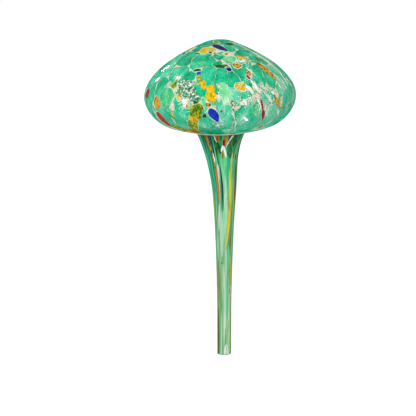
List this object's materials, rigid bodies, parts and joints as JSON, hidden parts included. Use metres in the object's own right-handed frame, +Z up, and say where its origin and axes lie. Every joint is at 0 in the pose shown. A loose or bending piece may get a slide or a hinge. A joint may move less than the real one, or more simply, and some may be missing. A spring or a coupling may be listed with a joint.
{
  "type": "watering globe",
  "caption": "Hand-blown mushroom-shaped glass watering globe: hollow domed cap with fused colour chips on a long hollow tapered stem that is pushed into potting soil to feed water.",
  "frame": {"origin": "centre of the stem tip, where its straight wall starts above the rounded lip", "axes": "+Z up the stem towards the cap, +X to the right of the picture, -Y towards the viewer"},
  "size_m": [0.1269, 0.1263, 0.2673],
  "materials": {
    "clear_glass": "gloss",
    "cream_frit": "gloss",
    "stem_glass": "gloss",
    "jade_glass": "gloss",
    "mint_glass": "gloss",
    "forest_glass": "gloss",
    "yellow_glass": "gloss",
    "amber_glass": "gloss",
    "olive_glass": "gloss",
    "cobalt_glass": "gloss",
    "navy_glass": "gloss",
    "red_glass": "gloss",
    "white_glass": "gloss"
  },
  "bodies": {
    "root": {"cap_wall": "clear_glass", "cap_frit_bed": "cream_frit", "stem_tube": "stem_glass", "cap_jade_chips": "jade_glass", "cap_mint_chips": "mint_glass", "cap_forest_chips": "forest_glass", "cap_yellow_chips": "yellow_glass", "cap_amber_chips": "amber_glass", "cap_olive_chips": "olive_glass", "cap_cobalt_chips": "cobalt_glass", "cap_navy_chips": "navy_glass", "cap_red_chips": "red_glass", "stem_jade_stripes": "jade_glass", "stem_mint_stripes": "mint_glass", "stem_white_stripes": "white_glass", "stem_forest_stripes": "forest_glass", "stem_yellow_stripes": "yellow_glass", "stem_amber_stripes": "amber_glass", "stem_olive_stripes": "olive_glass", "stem_navy_stripes": "navy_glass", "stem_red_stripes": "red_glass"}
  },
  "joints": []
}
